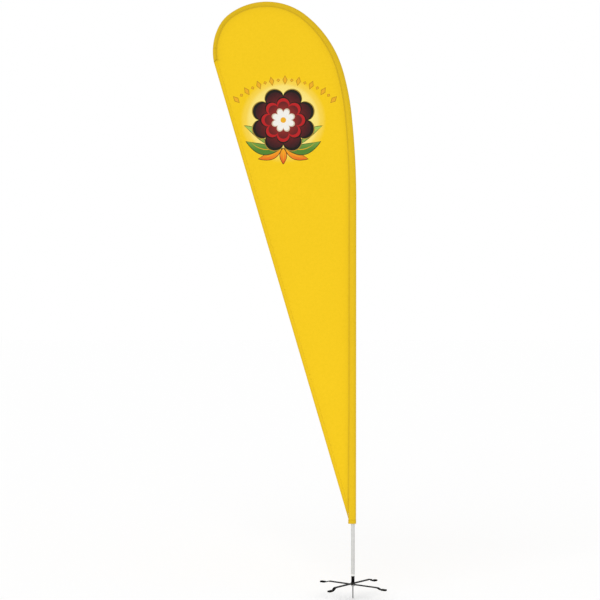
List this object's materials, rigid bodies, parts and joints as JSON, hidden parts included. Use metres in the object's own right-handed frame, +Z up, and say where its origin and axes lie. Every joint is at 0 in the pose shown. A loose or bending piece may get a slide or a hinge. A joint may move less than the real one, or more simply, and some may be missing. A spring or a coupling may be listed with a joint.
{
  "type": "teardrop flag",
  "caption": "Teardrop cloth flag on a bent pole that turns and lifts off a spindle, with a folding cross base and a ground spike.",
  "frame": {"origin": "on the spindle and spike axis, at the plane of the feet's undersides", "axes": "+Z up along the pole, the flag lies in the XZ plane with its free edge towards -X, +Y is the back as first seen"},
  "size_m": [1.0362, 0.3912, 3.5819],
  "materials": {
    "black_steel": "black powder coat, satin",
    "black_rubber": "matt moulded rubber",
    "zinc_steel": "zinc plated",
    "spring_steel": "dark spring steel",
    "white_nylon": "off-white nylon",
    "bronze": "sintered bronze",
    "aluminium_plain": "turned aluminium",
    "pole_aluminium": "satin anodised, pale grey",
    "black_plastic": "moulded plastic",
    "glass_fibre": "pultruded glass fibre, dark",
    "yellow_cloth": "knitted polyester, printed",
    "sleeve_cloth": "knitted polyester, double layer",
    "elastic_webbing": "woven elastic"
  },
  "bodies": {
    "base": {"lower_cross_bar": "black_steel", "lower_bar_caps": "black_rubber", "spindle_hub": "black_steel", "spindle_nut": "zinc_steel", "nut_washer": "zinc_steel", "pivot_washer": "white_nylon", "disc_spring": "spring_steel", "hub_bush_lower": "bronze", "hub_bush_spacer": "zinc_steel", "hub_bush_upper": "bronze", "ground_spike": "zinc_steel"},
    "folding_leg_bar": {"upper_cross_bar": "black_steel", "upper_bar_caps": "black_rubber"},
    "turning_spindle": {"rotor_shaft": "aluminium_plain", "bearing_collar": "white_nylon", "journal_clip": "spring_steel"},
    "pole_and_flag": {"pole_base_tube": "pole_aluminium", "section_spigot": "aluminium_plain", "pole_middle_tube": "pole_aluminium", "rod_reducer": "black_plastic", "pole_upper_rod": "glass_fibre", "rod_ferrule": "zinc_steel", "pole_tip_rod": "glass_fibre", "tip_cap": "black_rubber", "flag_panel": "yellow_cloth", "free_edge_hem": "yellow_cloth", "pole_sleeve": "sleeve_cloth", "mouth_binding": "sleeve_cloth", "tip_pocket": "sleeve_cloth", "hook_stud": "zinc_steel", "tension_eyelet": "black_plastic", "tension_elastic": "elastic_webbing"}
  },
  "joints": [
    {"name": "leg_fold", "type": "hinge", "parent": "base", "child": "folding_leg_bar", "pos_m": [0, 0, 0.0186], "axis": [0, 0, 1], "range_deg": [-82, 82]},
    {"name": "pole_swivel", "type": "hinge", "parent": "base", "child": "turning_spindle", "pos_m": [0, 0, 0.063], "axis": [0, 0, 1], "continuous": true},
    {"name": "pole_lift", "type": "slide", "parent": "turning_spindle", "child": "pole_and_flag", "axis": [0, 0, 1], "range_m": [0, 0.14]}
  ]
}
